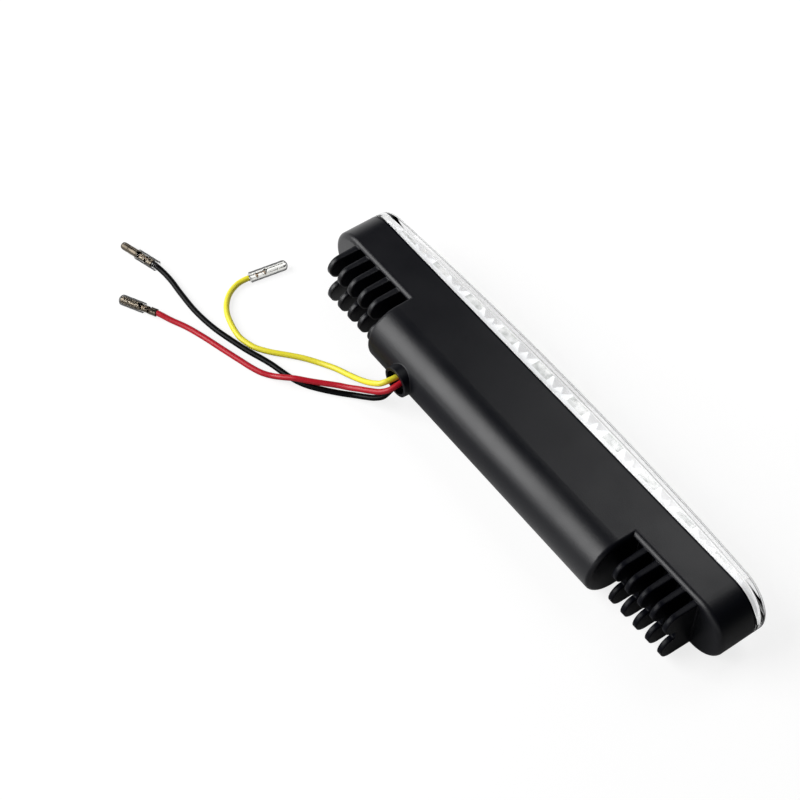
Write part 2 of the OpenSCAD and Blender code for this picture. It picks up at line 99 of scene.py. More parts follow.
def quads_of(rows, cols, close_rows=False, close_cols=False):
    """Corner numbers of the quads between neighbouring points of a rows x cols grid."""
    number = np.arange(rows * cols).reshape(rows, cols)
    if close_rows:
        number = np.vstack([number, number[:1]])
    if close_cols:
        number = np.hstack([number, number[:, :1]])
    corners = [number[:-1, :-1], number[:-1, 1:], number[1:, 1:], number[1:, :-1]]
    return np.stack(corners, axis=-1).reshape(-1, 4)


def piece(name, grids, material, smooth=35, replaces=()):
    """One object from (points, close_rows, close_cols) grids, welded and facing outwards.

    Edges sharper than the angle smooth, in degrees, stay sharp.
    """
    points, quads, start = [], [], 0
    for grid, close_rows, close_cols in grids:
        rows, cols = grid.shape[:2]
        points.append(grid.reshape(-1, 3))
        quads.append(quads_of(rows, cols, close_rows, close_cols) + start)
        start += rows * cols
    points, quads = np.concatenate(points), np.concatenate(quads)
    mesh = bpy.data.meshes.new(name)
    mesh.vertices.add(len(points))
    mesh.vertices.foreach_set("co", points.astype(np.float32).ravel())
    mesh.loops.add(quads.size)
    mesh.loops.foreach_set("vertex_index", quads.astype(np.int32).ravel())
    mesh.polygons.add(len(quads))
    mesh.polygons.foreach_set("loop_start", np.arange(0, quads.size, 4, dtype=np.int32))
    mesh.update(calc_edges=True)
    shell = bmesh.new()
    shell.from_mesh(mesh)
    bmesh.ops.remove_doubles(shell, verts=shell.verts, dist=weld)
    bmesh.ops.recalc_face_normals(shell, faces=shell.faces)
    shell.to_mesh(mesh)
    shell.free()
    mesh.polygons.foreach_set("use_smooth", np.ones(len(mesh.polygons), dtype=bool))
    mesh.set_sharp_from_angle(angle=np.radians(smooth))
    mesh.materials.append(material)
    thing = bpy.data.objects.new(name, mesh)
    bpy.context.scene.collection.objects.link(thing)
    if replaces:
        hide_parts(*replaces)
    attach(thing, "root")
    return thing


def turned(profile, count, origin=(0, 0, 0), axis=(0, 0, 1)):
    """A profile of (radius, height) turned round an axis: p = o + h a + r (cos t b + sin t c)."""
    profile = np.asarray(profile, float)
    axis = np.asarray(axis, float) / np.linalg.norm(axis)
    side = np.cross(axis, (0.0, 0.0, 1.0) if abs(axis[2]) < 0.9 else (1.0, 0.0, 0.0))
    side /= np.linalg.norm(side)
    other = np.cross(axis, side)
    angle = np.linspace(0, 2 * np.pi, count, endpoint=False)
    ring = np.cos(angle)[:, None] * side + np.sin(angle)[:, None] * other
    return np.asarray(origin) + profile[:, 1, None, None] * axis + profile[:, 0, None, None] * ring


def smooth_line(points, first, last, step=0.0004):
    """A cubic through the points: each tangent weighs the chords on both sides by their lengths."""
    points = np.asarray(points, float)
    chord = np.linalg.norm(np.diff(points, axis=0), axis=1)[:, None]
    slope = np.diff(points, axis=0) / chord
    inner = (slope[:-1] * chord[1:] + slope[1:] * chord[:-1]) / (chord[:-1] + chord[1:])
    tangent = np.vstack([[first], inner, [last]])
    out = []
    for i in range(len(chord)):
        t = np.linspace(0, 1, max(3, int(chord[i, 0] / step)), endpoint=False)[:, None]
        out.append((2 * t**3 - 3 * t**2 + 1) * points[i]
                   + (t**3 - 2 * t**2 + t) * chord[i] * tangent[i]
                   + (3 * t**2 - 2 * t**3) * points[i + 1]
                   + (t**3 - t**2) * chord[i] * tangent[i + 1])
    return np.vstack(out + [points[-1:]])


def tube(line, radius, count=20):
    """A round tube: p = line + r (cos t n + sin t b), with frames carried along without twist."""
    line = np.asarray(line, float)
    radius = np.broadcast_to(np.asarray(radius, float), (len(line),))
    along = np.gradient(line, axis=0)
    along /= np.linalg.norm(along, axis=1)[:, None]
    normal = np.zeros_like(line)
    start = np.cross(along[0], (0, 0, 1) if abs(along[0][2]) < 0.9 else (1, 0, 0))
    normal[0] = start / np.linalg.norm(start)
    for i in range(1, len(line)):
        carried = normal[i - 1] - along[i] * (normal[i - 1] @ along[i])
        normal[i] = carried / np.linalg.norm(carried)
    across = np.cross(along, normal)
    angle = np.linspace(0, 2 * np.pi, count, endpoint=False)
    cos, sin = np.cos(angle)[None, :, None], np.sin(angle)[None, :, None]
    ring = cos * normal[:, None] + sin * across[:, None]
    return line[:, None] + radius[:, None, None] * ring


def capped_tube(line, radius, count=20, lip=0.00012):
    """A tube whose two ends are rounded over a small lip and closed in the middle."""
    line = np.asarray(line, float)
    bulge, dot = 1e-6, 1e-5
    first = line[0] - line[1]
    last = line[-1] - line[-2]
    first /= np.linalg.norm(first)
    last /= np.linalg.norm(last)
    line = np.vstack([line[0] + first * 2 * bulge, line[0] + first * bulge, line[0] - first * lip,
                      line[1:-1],
                      line[-1] - last * lip, line[-1] + last * bulge, line[-1] + last * 2 * bulge])
    size = np.full(len(line), radius)
    size[[0, -1]] = dot
    size[[1, -2]] = radius - lip
    return tube(line, size, count)


# Shader groups
def new_group(name, inputs, outputs):
    """An empty shader node group with named inputs (name, kind, value) and outputs (name, kind)."""
    group = bpy.data.node_groups.new(name, "ShaderNodeTree")
    for label, kind, value in inputs:
        socket = group.interface.new_socket(name=label, in_out="INPUT", socket_type="NodeSocket" + kind)
        socket.default_value = value
    for label, kind in outputs:
        group.interface.new_socket(name=label, in_out="OUTPUT", socket_type="NodeSocket" + kind)
    return group, group.nodes.new("NodeGroupInput").outputs, group.nodes.new("NodeGroupOutput").inputs


def noise(tree, scale, detail=2.0, vector=None, roughness=0.5):
    """A noise texture on Object coordinates; scale is a number or a socket."""
    node = tree.nodes.new("ShaderNodeTexNoise")
    node.inputs["Detail"].default_value = detail
    node.inputs["Roughness"].default_value = roughness
    if hasattr(scale, "links"):
        tree.links.new(scale, node.inputs["Scale"])
    else:
        node.inputs["Scale"].default_value = scale
    if vector is None:
        vector = tree.nodes.new("ShaderNodeTexCoord").outputs["Object"]
    tree.links.new(vector, node.inputs["Vector"])
    return node.outputs["Fac"]


def remap(tree, value, low, high, to_low, to_high):
    """Maps low..high to to_low..to_high; each is a number or a socket."""
    node = tree.nodes.new("ShaderNodeMapRange")
    tree.links.new(value, node.inputs["Value"])
    ends = {"From Min": low, "From Max": high, "To Min": to_low, "To Max": to_high}
    for label, number in ends.items():
        if hasattr(number, "links"):
            tree.links.new(number, node.inputs[label])
        else:
            node.inputs[label].default_value = number
    return node.outputs["Result"]


def combine(tree, kind, a, b):
    """Math node of two numbers or sockets."""
    node = tree.nodes.new("ShaderNodeMath")
    node.operation = kind
    for socket, value in zip(node.inputs, (a, b)):
        if hasattr(value, "links"):
            tree.links.new(value, socket)
        else:
            socket.default_value = value
    return node.outputs["Value"]


def product(tree, *masks):
    """The product of several masks."""
    result = masks[0]
    for mask in masks[1:]:
        result = combine(tree, "MULTIPLY", result, mask)
    return result


def object_place(tree):
    """The X, Y and Z of Object coordinates, which are the part's own frame."""
    place = tree.nodes.new("ShaderNodeSeparateXYZ")
    tree.links.new(tree.nodes.new("ShaderNodeTexCoord").outputs["Object"], place.inputs["Vector"])
    return place.outputs


def make_grain_group():
    """Moulded grain: fine pits as a height, and gloss that drifts slowly between two values."""
    group, given, result = new_group(
        "moulded grain",
        [("Grain scale", "Float", 3000.0), ("Drift scale", "Float", 60.0), ("Matt", "Float", 0.5),
         ("Gloss", "Float", 0.35)],
        [("Height", "Float"), ("Roughness", "Float")])
    fine = noise(group, given["Grain scale"], 3.0)
    pits = remap(group, fine, 0.3, 0.7, 0.0, 1.0)
    slow = noise(group, given["Drift scale"], 3.0)
    drift = remap(group, slow, 0.35, 0.65, given["Gloss"], given["Matt"])
    fleck = remap(group, fine, 0.3, 0.7, -0.03, 0.03)
    group.links.new(pits, result["Height"])
    group.links.new(combine(group, "ADD", drift, fleck), result["Roughness"])
    return group


def make_dust_group():
    """Dust and rub marks: a mask from soft clouds times sparse specks."""
    group, given, result = new_group(
        "dust and rubs", [("Amount", "Float", 0.2), ("Cloud scale", "Float", 90.0),
                          ("Speck scale", "Float", 1800.0)], [("Mask", "Float")])
    clouds = remap(group, noise(group, given["Cloud scale"], 4.0), 0.45, 0.7, 0.0, 1.0)
    specks = remap(group, noise(group, given["Speck scale"], 2.0), 0.55, 0.75, 0.15, 1.0)
    both = combine(group, "MULTIPLY", clouds, specks)
    group.links.new(combine(group, "MULTIPLY", both, given["Amount"]), result["Mask"])
    return group


grain_group = make_grain_group()
dust_group = make_dust_group()


# Materials
dust_grey = (0.3, 0.29, 0.28)


def use_group(tree, group, **values):
    """A group placed in a material, with its own values for the group's inputs."""
    node = tree.nodes.new("ShaderNodeGroup")
    node.node_tree = group
    for label, value in values.items():
        node.inputs[label.replace("_", " ")].default_value = value
    return node.outputs


def base_material(name, color, roughness, metallic=0.0, **sockets):
    """A Principled material; sockets are its plain values."""
    material = bpy.data.materials.new(name)
    material.use_nodes = True
    tree = material.node_tree
    shader = tree.nodes["Principled BSDF"]
    shader.inputs["Base Color"].default_value = (*color, 1)
    shader.inputs["Roughness"].default_value = roughness
    shader.inputs["Metallic"].default_value = metallic
    for label, value in sockets.items():
        shader.inputs[label.replace("_", " ")].default_value = value
    return material, tree, shader


def add_bump(tree, shader, height, distance, strength=1.0):
    """A height feeds the shader's normal."""
    bump = tree.nodes.new("ShaderNodeBump")
    bump.inputs["Distance"].default_value = distance
    bump.inputs["Strength"].default_value = strength
    tree.links.new(height, bump.inputs["Height"])
    tree.links.new(bump.outputs["Normal"], shader.inputs["Normal"])
    return bump


def blend_colors(tree, mask, low, high):
    """Mixes two colours, or sockets, by a mask socket."""
    node = tree.nodes.new("ShaderNodeMix")
    node.data_type = "RGBA"
    tree.links.new(mask, node.inputs["Factor"])
    for socket, value in ((node.inputs[6], low), (node.inputs[7], high)):
        if hasattr(value, "links"):
            tree.links.new(value, socket)
        else:
            socket.default_value = (*value, 1)
    return node.outputs[2]


def plastic(name, color, gloss, matt, grain=3000.0, depth=0.00001, dust=0.1, **sockets):
    """Moulded plastic or rubber with grain, uneven gloss and a breath of dust."""
    material, tree, shader = base_material(name, color, gloss, **sockets)
    moulded = use_group(tree, grain_group, Grain_scale=grain, Gloss=gloss, Matt=matt)
    dusty = use_group(tree, dust_group, Amount=dust)
    tree.links.new(moulded["Roughness"], shader.inputs["Roughness"])
    tree.links.new(blend_colors(tree, dusty["Mask"], color, dust_grey), shader.inputs["Base Color"])
    add_bump(tree, shader, moulded["Height"], depth)
    return material


def housing_material():
    """Satin black moulding with softened edges, softer still on the fins.

    It shines less on the fins, least on those at the end at -X, and hardly at all at the seam: painted
    shade.
    """
    edge, fin_edge = 0.0004, 0.0011
    plain_shine = 0.45
    material = plastic("satin black housing", (0.0014, 0.0017, 0.0042), 0.34, 0.41, 2600.0, dust=0.004,
                       Specular_IOR_Level=plain_shine)
    tree = material.node_tree
    place = object_place(tree)
    along = combine(tree, "ABSOLUTE", place["X"], 0)
    fins = product(tree, combine(tree, "GREATER_THAN", along, fins_from),
                   combine(tree, "LESS_THAN", along, fins_to),
                   combine(tree, "GREATER_THAN", place["Y"], fins_behind),
                   combine(tree, "LESS_THAN", place["Z"], fins_below))
    rounded = tree.nodes.new("ShaderNodeBevel")
    rounded.samples = 8
    tree.links.new(remap(tree, fins, 0.0, 1.0, edge, fin_edge), rounded.inputs["Radius"])
    tree.links.new(rounded.outputs["Normal"], tree.nodes["Bump"].inputs["Normal"])
    # Painted shade: the shine is lowered on the fins towards -X and along the seam, to darken them
    fin_shine_painted = remap(tree, place["X"], -0.06, 0.06, 0.13, 0.38)
    seam = remap(tree, place["Y"], seam_y + 0.0004, seam_y + 0.0008, 0.1, 1.0)
    shine = product(tree, remap(tree, fins, 0.0, 1.0, plain_shine, fin_shine_painted), seam)
    tree.links.new(shine, tree.nodes["Principled BSDF"].inputs["Specular IOR Level"])
    return material


def metal(name, color, gloss, matt, grain=2500.0, depth=0.000004, dark=0.6, **sockets):
    """Plated metal with uneven gloss, a fine grain and patches that are dark times its colour."""
    material, tree, shader = base_material(name, color, gloss, 1.0, **sockets)
    moulded = use_group(tree, grain_group, Grain_scale=grain, Gloss=gloss, Matt=matt, Drift_scale=300.0)
    dusty = use_group(tree, dust_group, Amount=0.8, Cloud_scale=260.0)
    tree.links.new(moulded["Roughness"], shader.inputs["Roughness"])
    darker = tuple(c * dark for c in color)
    tree.links.new(blend_colors(tree, dusty["Mask"], color, darker), shader.inputs["Base Color"])
    add_bump(tree, shader, moulded["Height"], depth)
    return material


def clear_plastic(name, color, roughness, ior, ripple=0.00002, ripple_scale=160.0, rim=None,
                  painted_rim_at=(0.45, 0.85)):
    """Clear moulding: a glass-like shader that lets the lamps' light through to what it covers.

    With rim, the colour falls to it where the wall is seen edge on: painted shade along the outlines.
    """
    material, tree, shader = base_material(name, color, roughness, IOR=ior, Transmission_Weight=1.0)
    add_bump(tree, shader, noise(tree, ripple_scale, 1.0), ripple, 0.5)
    if rim:
        # Painted shade: the colour darkens towards the rim colour where the wall is seen edge on
        facing = tree.nodes.new("ShaderNodeLayerWeight").outputs["Facing"]
        painted_rim_mask = remap(tree, facing, *painted_rim_at, 0.0, 1.0)
        tree.links.new(blend_colors(tree, painted_rim_mask, color, rim), shader.inputs["Base Color"])
    output = tree.nodes["Material Output"]
    mix = tree.nodes.new("ShaderNodeMixShader")
    clear = tree.nodes.new("ShaderNodeBsdfTransparent")
    clear.inputs["Color"].default_value = (*color, 1)
    tree.links.new(tree.nodes.new("ShaderNodeLightPath").outputs["Is Shadow Ray"], mix.inputs["Fac"])
    tree.links.new(shader.outputs["BSDF"], mix.inputs[1])
    tree.links.new(clear.outputs["BSDF"], mix.inputs[2])
    tree.links.new(mix.outputs["Shader"], output.inputs["Surface"])
    return material


def board(name, color, track_color):
    """Solder mask over tracks: cells of copper show through as another tone and a small step."""
    material, tree, shader = base_material(name, color, 0.35)
    cells = tree.nodes.new("ShaderNodeTexVoronoi")
    cells.feature = "DISTANCE_TO_EDGE"
    cells.inputs["Scale"].default_value = 260.0
    tree.links.new(tree.nodes.new("ShaderNodeTexCoord").outputs["Object"], cells.inputs["Vector"])
    track = remap(tree, cells.outputs["Distance"], 0.08, 0.1, 0.0, 1.0)
    tree.links.new(blend_colors(tree, track, color, track_color), shader.inputs["Base Color"])
    add_bump(tree, shader, track, 0.00003)
    return material


def reflector_material():
    """Bright metallising, white along the sides and ends, with dark cell floors and patches of painted
    shade on the side walls.

    All are masks on Object coordinates: the distance from a cell's middle along X, the height from the
    middle plane, and the depth from the seam.
    """
    bright, white, floor_dark = (0.88, 0.89, 0.9), (0.76, 0.765, 0.77), (0.1, 0.1, 0.11)
    # Greys of the painted shade patches on the side walls
    painted_shade_grey, painted_shade_pale = (0.34, 0.35, 0.34), (0.62, 0.62, 0.61)
    side_z, shade_patch_half, shade_patch_depth = 0.00785, 0.0034, 0.0021
    material, tree, shader = base_material("bright metallising", bright, 0.12, 1.0)
    place = object_place(tree)
    in_cell = combine(tree, "FLOORED_MODULO", place["X"], cell_pitch)
    cell = combine(tree, "ABSOLUTE", combine(tree, "SUBTRACT", in_cell, cell_pitch / 2), 0)
    inside = remap(tree, cell, cell_w / 2 - 0.0002, cell_w / 2, 1.0, 0.0)
    along = combine(tree, "ABSOLUTE", place["X"], 0)
    along = remap(tree, along, cells_end + 0.00005, cells_end + 0.00035, 1.0, 0.0)
    deep = remap(tree, place["Y"], seam_y - 0.0002, seam_y + 0.0012, 0.0, 1.0)
    floors = product(tree, inside, along, deep)
    height = combine(tree, "ABSOLUTE", combine(tree, "SUBTRACT", place["Z"], mid_z), 0)
    side = remap(tree, height, side_z, side_z + 0.0001, 0.0, 1.0)
    satin = combine(tree, "MAXIMUM", side, combine(tree, "SUBTRACT", 1.0, along))
    # Painted shade: grey patches on the side walls at each cell's front stand for dark things seen
    # through the lens
    shade_patch_across = remap(tree, cell, shade_patch_half, shade_patch_half + 0.0003, 1.0, 0.0)
    above = remap(tree, place["Y"], seam_y - shade_patch_depth - 0.0003, seam_y - shade_patch_depth, 1.0, 0.0)
    painted_shade_patch = product(tree, shade_patch_across, above, side, along)
    tone = blend_colors(tree, floors, bright, floor_dark)
    tone = blend_colors(tree, satin, tone, white)
    cloud = remap(tree, noise(tree, 420.0, 3.0), 0.35, 0.65, 0.0, 1.0)
    painted_shade_tone = blend_colors(tree, cloud, painted_shade_grey, painted_shade_pale)
    tree.links.new(blend_colors(tree, painted_shade_patch, tone, painted_shade_tone), shader.inputs["Base Color"])
    tree.links.new(combine(tree, "SUBTRACT", 1.0, satin), shader.inputs["Metallic"])
    moulded = use_group(tree, grain_group, Grain_scale=900.0, Gloss=0.06, Matt=0.18)
    dull = combine(tree, "MULTIPLY", combine(tree, "MAXIMUM", floors, satin), 0.25)
    tree.links.new(combine(tree, "ADD", moulded["Roughness"], dull), shader.inputs["Roughness"])
    add_bump(tree, shader, noise(tree, 350.0, 2.0), 0.00004, 0.5)
    return material


housing_black = housing_material()
grommet_black = plastic("black rubber", (0.008, 0.008, 0.008), 0.6, 0.75, 1800.0, 0.00002, 0.05)
seal_black = plastic("seal rubber", (0.02, 0.02, 0.02), 0.6, 0.7, 1500.0)
# The lens and the sleeves get painted shade: their outlines darken where seen edge on
lens_clear = clear_plastic("clear lens", (0.955, 0.958, 0.96), 0.01, 1.49, 0.000004,
                           rim=(0.3, 0.305, 0.305), painted_rim_at=(0.8, 0.97))
sleeve_clear = clear_plastic("clear soft sleeve", (0.96, 0.962, 0.955), 0.05, 1.12, 0.00006, 700.0,
                             rim=(0.01, 0.01, 0.01), painted_rim_at=(0.22, 0.6))
reflector_bright = reflector_material()
facet_bright = metal("bright facets", (0.88, 0.89, 0.91), 0.05, 0.14, 1200.0, 0.000006, 0.85)
screw_steel = metal("plated screw", (0.62, 0.62, 0.63), 0.25, 0.38)
terminal_metal = metal("dull tinned brass", (0.11, 0.093, 0.072), 0.16, 0.4, 1000.0, 0.00005, 0.12)
tinned_metal = metal("bright tin plate", (0.85, 0.85, 0.83), 0.2, 0.4, 1100.0, 0.00002, 0.6)
copper = metal("tinned copper strands", (0.42, 0.32, 0.24), 0.25, 0.4)
pin_brass = metal("gold-coloured pin", (0.8, 0.66, 0.35), 0.2, 0.3)
yellow_vinyl = plastic("yellow insulation", (0.96, 0.86, 0.05), 0.3, 0.42, 2200.0, 0.000008, 0.04)
red_vinyl = plastic("red insulation", (0.52, 0.008, 0.022), 0.3, 0.42, 2200.0, 0.000008, 0.04,
                    Specular_IOR_Level=0.35)
black_vinyl = plastic("black insulation", (0.0015, 0.0015, 0.002), 0.3, 0.4, 2200.0, 0.000008, 0.004,
                      Specular_IOR_Level=0.12)
part_black = plastic("moulded component", (0.02, 0.02, 0.022), 0.4, 0.55)
can_sleeve = plastic("capacitor sleeve", (0.03, 0.035, 0.06), 0.25, 0.35)
resistor_lacquer = plastic("resistor lacquer", (0.5, 0.38, 0.22), 0.3, 0.4)
white_board = board("white solder mask", (0.8, 0.8, 0.77), (0.86, 0.86, 0.83))
green_board = board("green solder mask", (0.02, 0.13, 0.05), (0.04, 0.22, 0.09))
led_clear = clear_plastic("clear epoxy", (0.97, 0.98, 0.98), 0.02, 1.5, 0.00001)
led_amber = clear_plastic("tinted epoxy", (0.98, 0.8, 0.5), 0.02, 1.5, 0.00001)
led_frame_metal = metal("silvered lead frame", (0.8, 0.8, 0.8), 0.15, 0.3)
phosphor = plastic("phosphor", (0.85, 0.72, 0.15), 0.5, 0.6)
chip_amber = plastic("amber chip", (0.8, 0.3, 0.05), 0.3, 0.4)

node_materials = {
    "rear_housing": housing_black, "lens_seal": seal_black, "reflector": reflector_bright,
    "left_reflector_screw": screw_steel, "right_reflector_screw": screw_steel,
    "led_board": white_board, "driver_board": green_board, "regulator": part_black,
    "input_capacitor": can_sleeve, "supply_diode": part_black, "turn_diode": part_black,
    "white_resistor": resistor_lacquer, "amber_resistor": resistor_lacquer,
    "white_link_pin": pin_brass, "amber_link_pin": pin_brass, "ground_link_pin": pin_brass,
    "cable_grommet": grommet_black, "yellow_inner_lead": yellow_vinyl,
    "red_inner_lead": red_vinyl, "black_inner_lead": black_vinyl}
for number in range(1, cell_count + 1):
    node_materials["white_led_%d" % number] = led_clear
    node_materials["amber_led_%d" % number] = led_amber
for label, material in node_materials.items():
    for slot in nodes[label].material_slots:
        slot.material = material


# Wires, terminals and sleeves
# The routes of the part's source, in metres, counted from the grommet's outer face
grommet_face = np.array([0.03645, 0.017075, 0.0])
yellow_route = np.array([
    [1.6, 0, 10.95], [1.7, 2, 11.05], [2.1, 3.9, 10.8], [3, 5.4, 10], [4.9, 6.4, 8.8],
    [7.1, 7, 7.4], [9.7, 7.5, 6], [15.6, 8.5, 3.5], [21.5, 9.8, 1.8], [26.5, 12.1, 1],
    [31, 15.1, 1], [34.9, 18.4, 1], [38.2, 21.4, 1], [41.1, 23.7, 1], [43.7, 25.3, 1],
    [46.5, 26.2, 1], [49.7, 26.8, 1], [52.8, 26.6, 1], [56.4, 25.9, 1], [60.5, 24.6, 1],
    [64.2, 22.3, 1], [67.4, 18.6, 1], [68.7, 14.8, 1.3], [68.3, 11, 1.8]]) * MM + grommet_face
red_route = np.array([
    [-0.8, 0, 10.65], [-0.8, 2, 10.45], [-0.4, 4.2, 9.65], [1.6, 6.4, 8], [4.9, 8.1, 6.3],
    [8, 9.6, 5], [11.3, 11.5, 3.8], [14.7, 13.8, 3.2], [17.8, 16.6, 3], [21.2, 19.8, 3],
    [24.6, 22.8, 3], [27.6, 25.2, 2.2], [30.7, 27.2, 1.2], [33.7, 29.1, 1], [37.1, 30.5, 1],
    [41.8, 31.9, 1], [49.1, 34, 1], [57.2, 36.3, 1], [63.3, 38.4, 1], [68.4, 40.9, 1.2],
    [73, 43.2, 1.8]]) * MM + grommet_face
black_route = np.array([
    [0.5, 0, 8.65], [0.6, 2, 8.45], [0.6, 3.9, 7.35], [1.2, 5.6, 5.6], [3.2, 7.2, 3.9],
    [6.3, 8.8, 2.3], [9.5, 10.8, 1.3], [12.5, 13.4, 1], [15.6, 16.1, 1], [18.9, 18.7, 1],
    [22.6, 21.1, 1], [26.5, 22.7, 1], [30.7, 23.8, 1], [34.6, 24.7, 1], [38.7, 26, 1],
    [42.9, 27.5, 1], [49.4, 29.4, 1], [57.7, 31.4, 1], [66.7, 32.4, 1], [76.4, 32.2, 1],
    [83.5, 31.8, 1], [87.8, 32.1, 1.2], [91.7, 33.1, 1.8]]) * MM + grommet_face


def level_axes(turn):
    """The unit vectors along a level line turned by an angle from +X, across it, and up."""
    along = np.array([np.cos(turn), np.sin(turn), 0])
    across = np.array([-np.sin(turn), np.cos(turn), 0])
    return along, across, np.array([0, 0, 1.0])


def terminal_sheet(end, turn):
    """A bullet terminal rolled from sheet: p = e + u a + r(u, w) (sin w b - cos w c), |w| < open(u).

    u runs along the terminal and w goes round from its underside. open(u) is half the arc that the
    sheet covers: nearly the whole circle at the crimps and the bullet, a trough between them. r is
    the radius at u, less a fold inwards along the sheet's two edges where it is crimped.
    """
    along, across, up = level_axes(turn)
    slim = 0.88
    fold_in = 0.28 * MM
    wire_crimp, strand_crimp = 0.002, (0.003, 0.0051)
    marks = np.array([0, 0.2, 1.9, 2.1, 2.4, 2.9, 3.1, 5.0, 5.2, 5.6, 6.3, 6.7, 9.6, 9.8, 10.1, 10.3,
                      12.0, 12.5, 12.85, 13.0]) * MM
    radius = np.array([1.42, 1.32, 1.3, 1.36, 1.3, 1.25, 1.18, 1.18, 1.25, 1.28, 1.32, 1.36, 1.36,
                       1.26, 1.26, 1.36, 1.36, 1.3, 1.16, 1.0]) * MM
    opening = np.array([2.6, 2.95, 2.95, 2.6, 1.5, 1.5, 2.7, 2.7, 1.6, 1.7, 2.7, 3.05, 3.05, 3.05,
                        3.05, 3.05, 3.05, 3.05, 3.05, 3.05])
    u = np.linspace(0, terminal_l, 131)
    size, wide = slim * np.interp(u, marks, radius), np.interp(u, marks, opening)
    w = np.linspace(-1, 1, 41) * wide[:, None]
    crimped = ((u > strand_crimp[0]) & (u < strand_crimp[1])) | (u < wire_crimp)
    near_edge = np.exp(-((np.abs(w) - wide[:, None]) / 0.5) ** 2)
    r = size[:, None] - np.where(crimped, fold_in, 0.0)[:, None] * near_edge
    return (end + u[:, None, None] * along + (r * np.sin(w))[..., None] * across
            - (r * np.cos(w))[..., None] * up)


def strand_tubes(end, turn):
    """Seven bare strands: p = e + u a + q (sin k b + cos k c), six twisted round a straight one.

    They run from the cut insulation to behind the second crimp, a little below the terminal's middle.
    """
    along, across, up = level_axes(turn)
    strand_r, ring_r, drop, twist = 0.0002, 0.00042, 0.0002, 900
    u = np.linspace(-0.0002, 0.0058, 40)
    grids = []
    for number in range(7):
        reach = 0.0 if number == 6 else ring_r
        phase = number * np.pi / 3 + u * twist
        strand = (end + u[:, None] * along + (reach * np.sin(phase))[:, None] * across
                  + (reach * np.cos(phase) - drop)[:, None] * up)
        grids.append((capped_tube(strand, strand_r, 10, 0.00005), False, True))
    return grids


def sleeve_profile(start, length, tip):
    """A thin soft tube with rounded lips, as a closed loop of (radius, height along the terminal).

    Over the length tip at the far end the radius narrows like an ellipse: r sqrt(1 - 0.85 t^2), with
    t from 0 to 1. The outside swells and shrinks a little along it: r + wave sin(h / 0.43 mm).
    """
    inner, outer, lip = bullet_d / 2 + 0.00003, bullet_d / 2 + 0.0003, 0.00012
    middle = (inner + outer) / 2
    wave, waves_per_m = 0.00002, 2300
    heights = np.linspace(start + lip, start + length - lip, 60)
    t = np.clip((heights - (start + length - tip)) / tip, 0, 1) if tip else 0 * heights
    swollen = outer - wave + wave * np.sin(heights * waves_per_m)
    outside = swollen * np.sqrt(1 - 0.85 * t**2)
    inside = outside - (outer - inner - 2 * wave)
    tip_lip = middle - outer + outside[-1]
    return np.vstack([[middle, start], np.column_stack([outside, heights]),
                      [tip_lip, start + length], np.column_stack([inside, heights])[::-1]])


def make_wire(color, route, turn, insulation, terminal, sleeve_start, sleeve_length, sleeve_tip):
    """One wire with its bare strands, crimped terminal and clear sleeve."""
    turn = np.radians(turn)
    along = level_axes(turn)[0]
    end = route[-1]
    line = smooth_line(route, (0, 1, 0), along)
    line[:, 2] = np.maximum(line[:, 2], wire_d / 2 + 0.00001)
    wire = piece(color + "_wire_insulation", [(capped_tube(line, wire_d / 2), False, True)],
                 insulation, replaces=(color + "_wire",))
    sheet = piece(color + "_bullet_terminal", [(terminal_sheet(end, turn), False, False)],
                  terminal, 50, replaces=(color + "_terminal",))
    wall = sheet.modifiers.new("sheet thickness", "SOLIDIFY")
    wall.thickness = 0.00026
    wall.offset = 0
    strands = piece(color + "_strands", strand_tubes(end, turn), copper)
    profile = sleeve_profile(sleeve_start, sleeve_length, sleeve_tip)
    sleeve = piece(color + "_clear_sleeve", [(turned(profile, 48, end, along), True, True)],
                   sleeve_clear, 60, replaces=(color + "_sleeve",))


make_wire("yellow", yellow_route, -99.2, yellow_vinyl, tinned_metal, 0.0005, 0.013, 0.0011)
make_wire("red", red_route, 28.5, red_vinyl, terminal_metal, 0.0045, 0.009, 0.0011)
make_wire("black", black_route, 16.4, black_vinyl, terminal_metal, -0.002, 0.0085, 0)


# Lens
def crown(x):
    """How far the lens face bows forward: c (1 - (2 x / l)^2)."""
    return lens_crown * (1 - (x / (lamp_l / 2)) ** 2)


def outline(inset, arc=48, side=60):
    """The stadium: straight sides |x| < a at the distance r from its middle line, and half circles."""
    r = end_r - inset
    far = np.radians(np.linspace(-90, 90, arc, endpoint=False))
    near = np.radians(np.linspace(90, 270, arc, endpoint=False))
    run = np.linspace(axis_x, -axis_x, side, endpoint=False)
    x = np.concatenate([axis_x + r * np.cos(far), run, -axis_x + r * np.cos(near), -run])
    z = np.concatenate([r * np.sin(far), np.full(side, r), r * np.sin(near), np.full(side, -r)])
    return x, mid_z + z


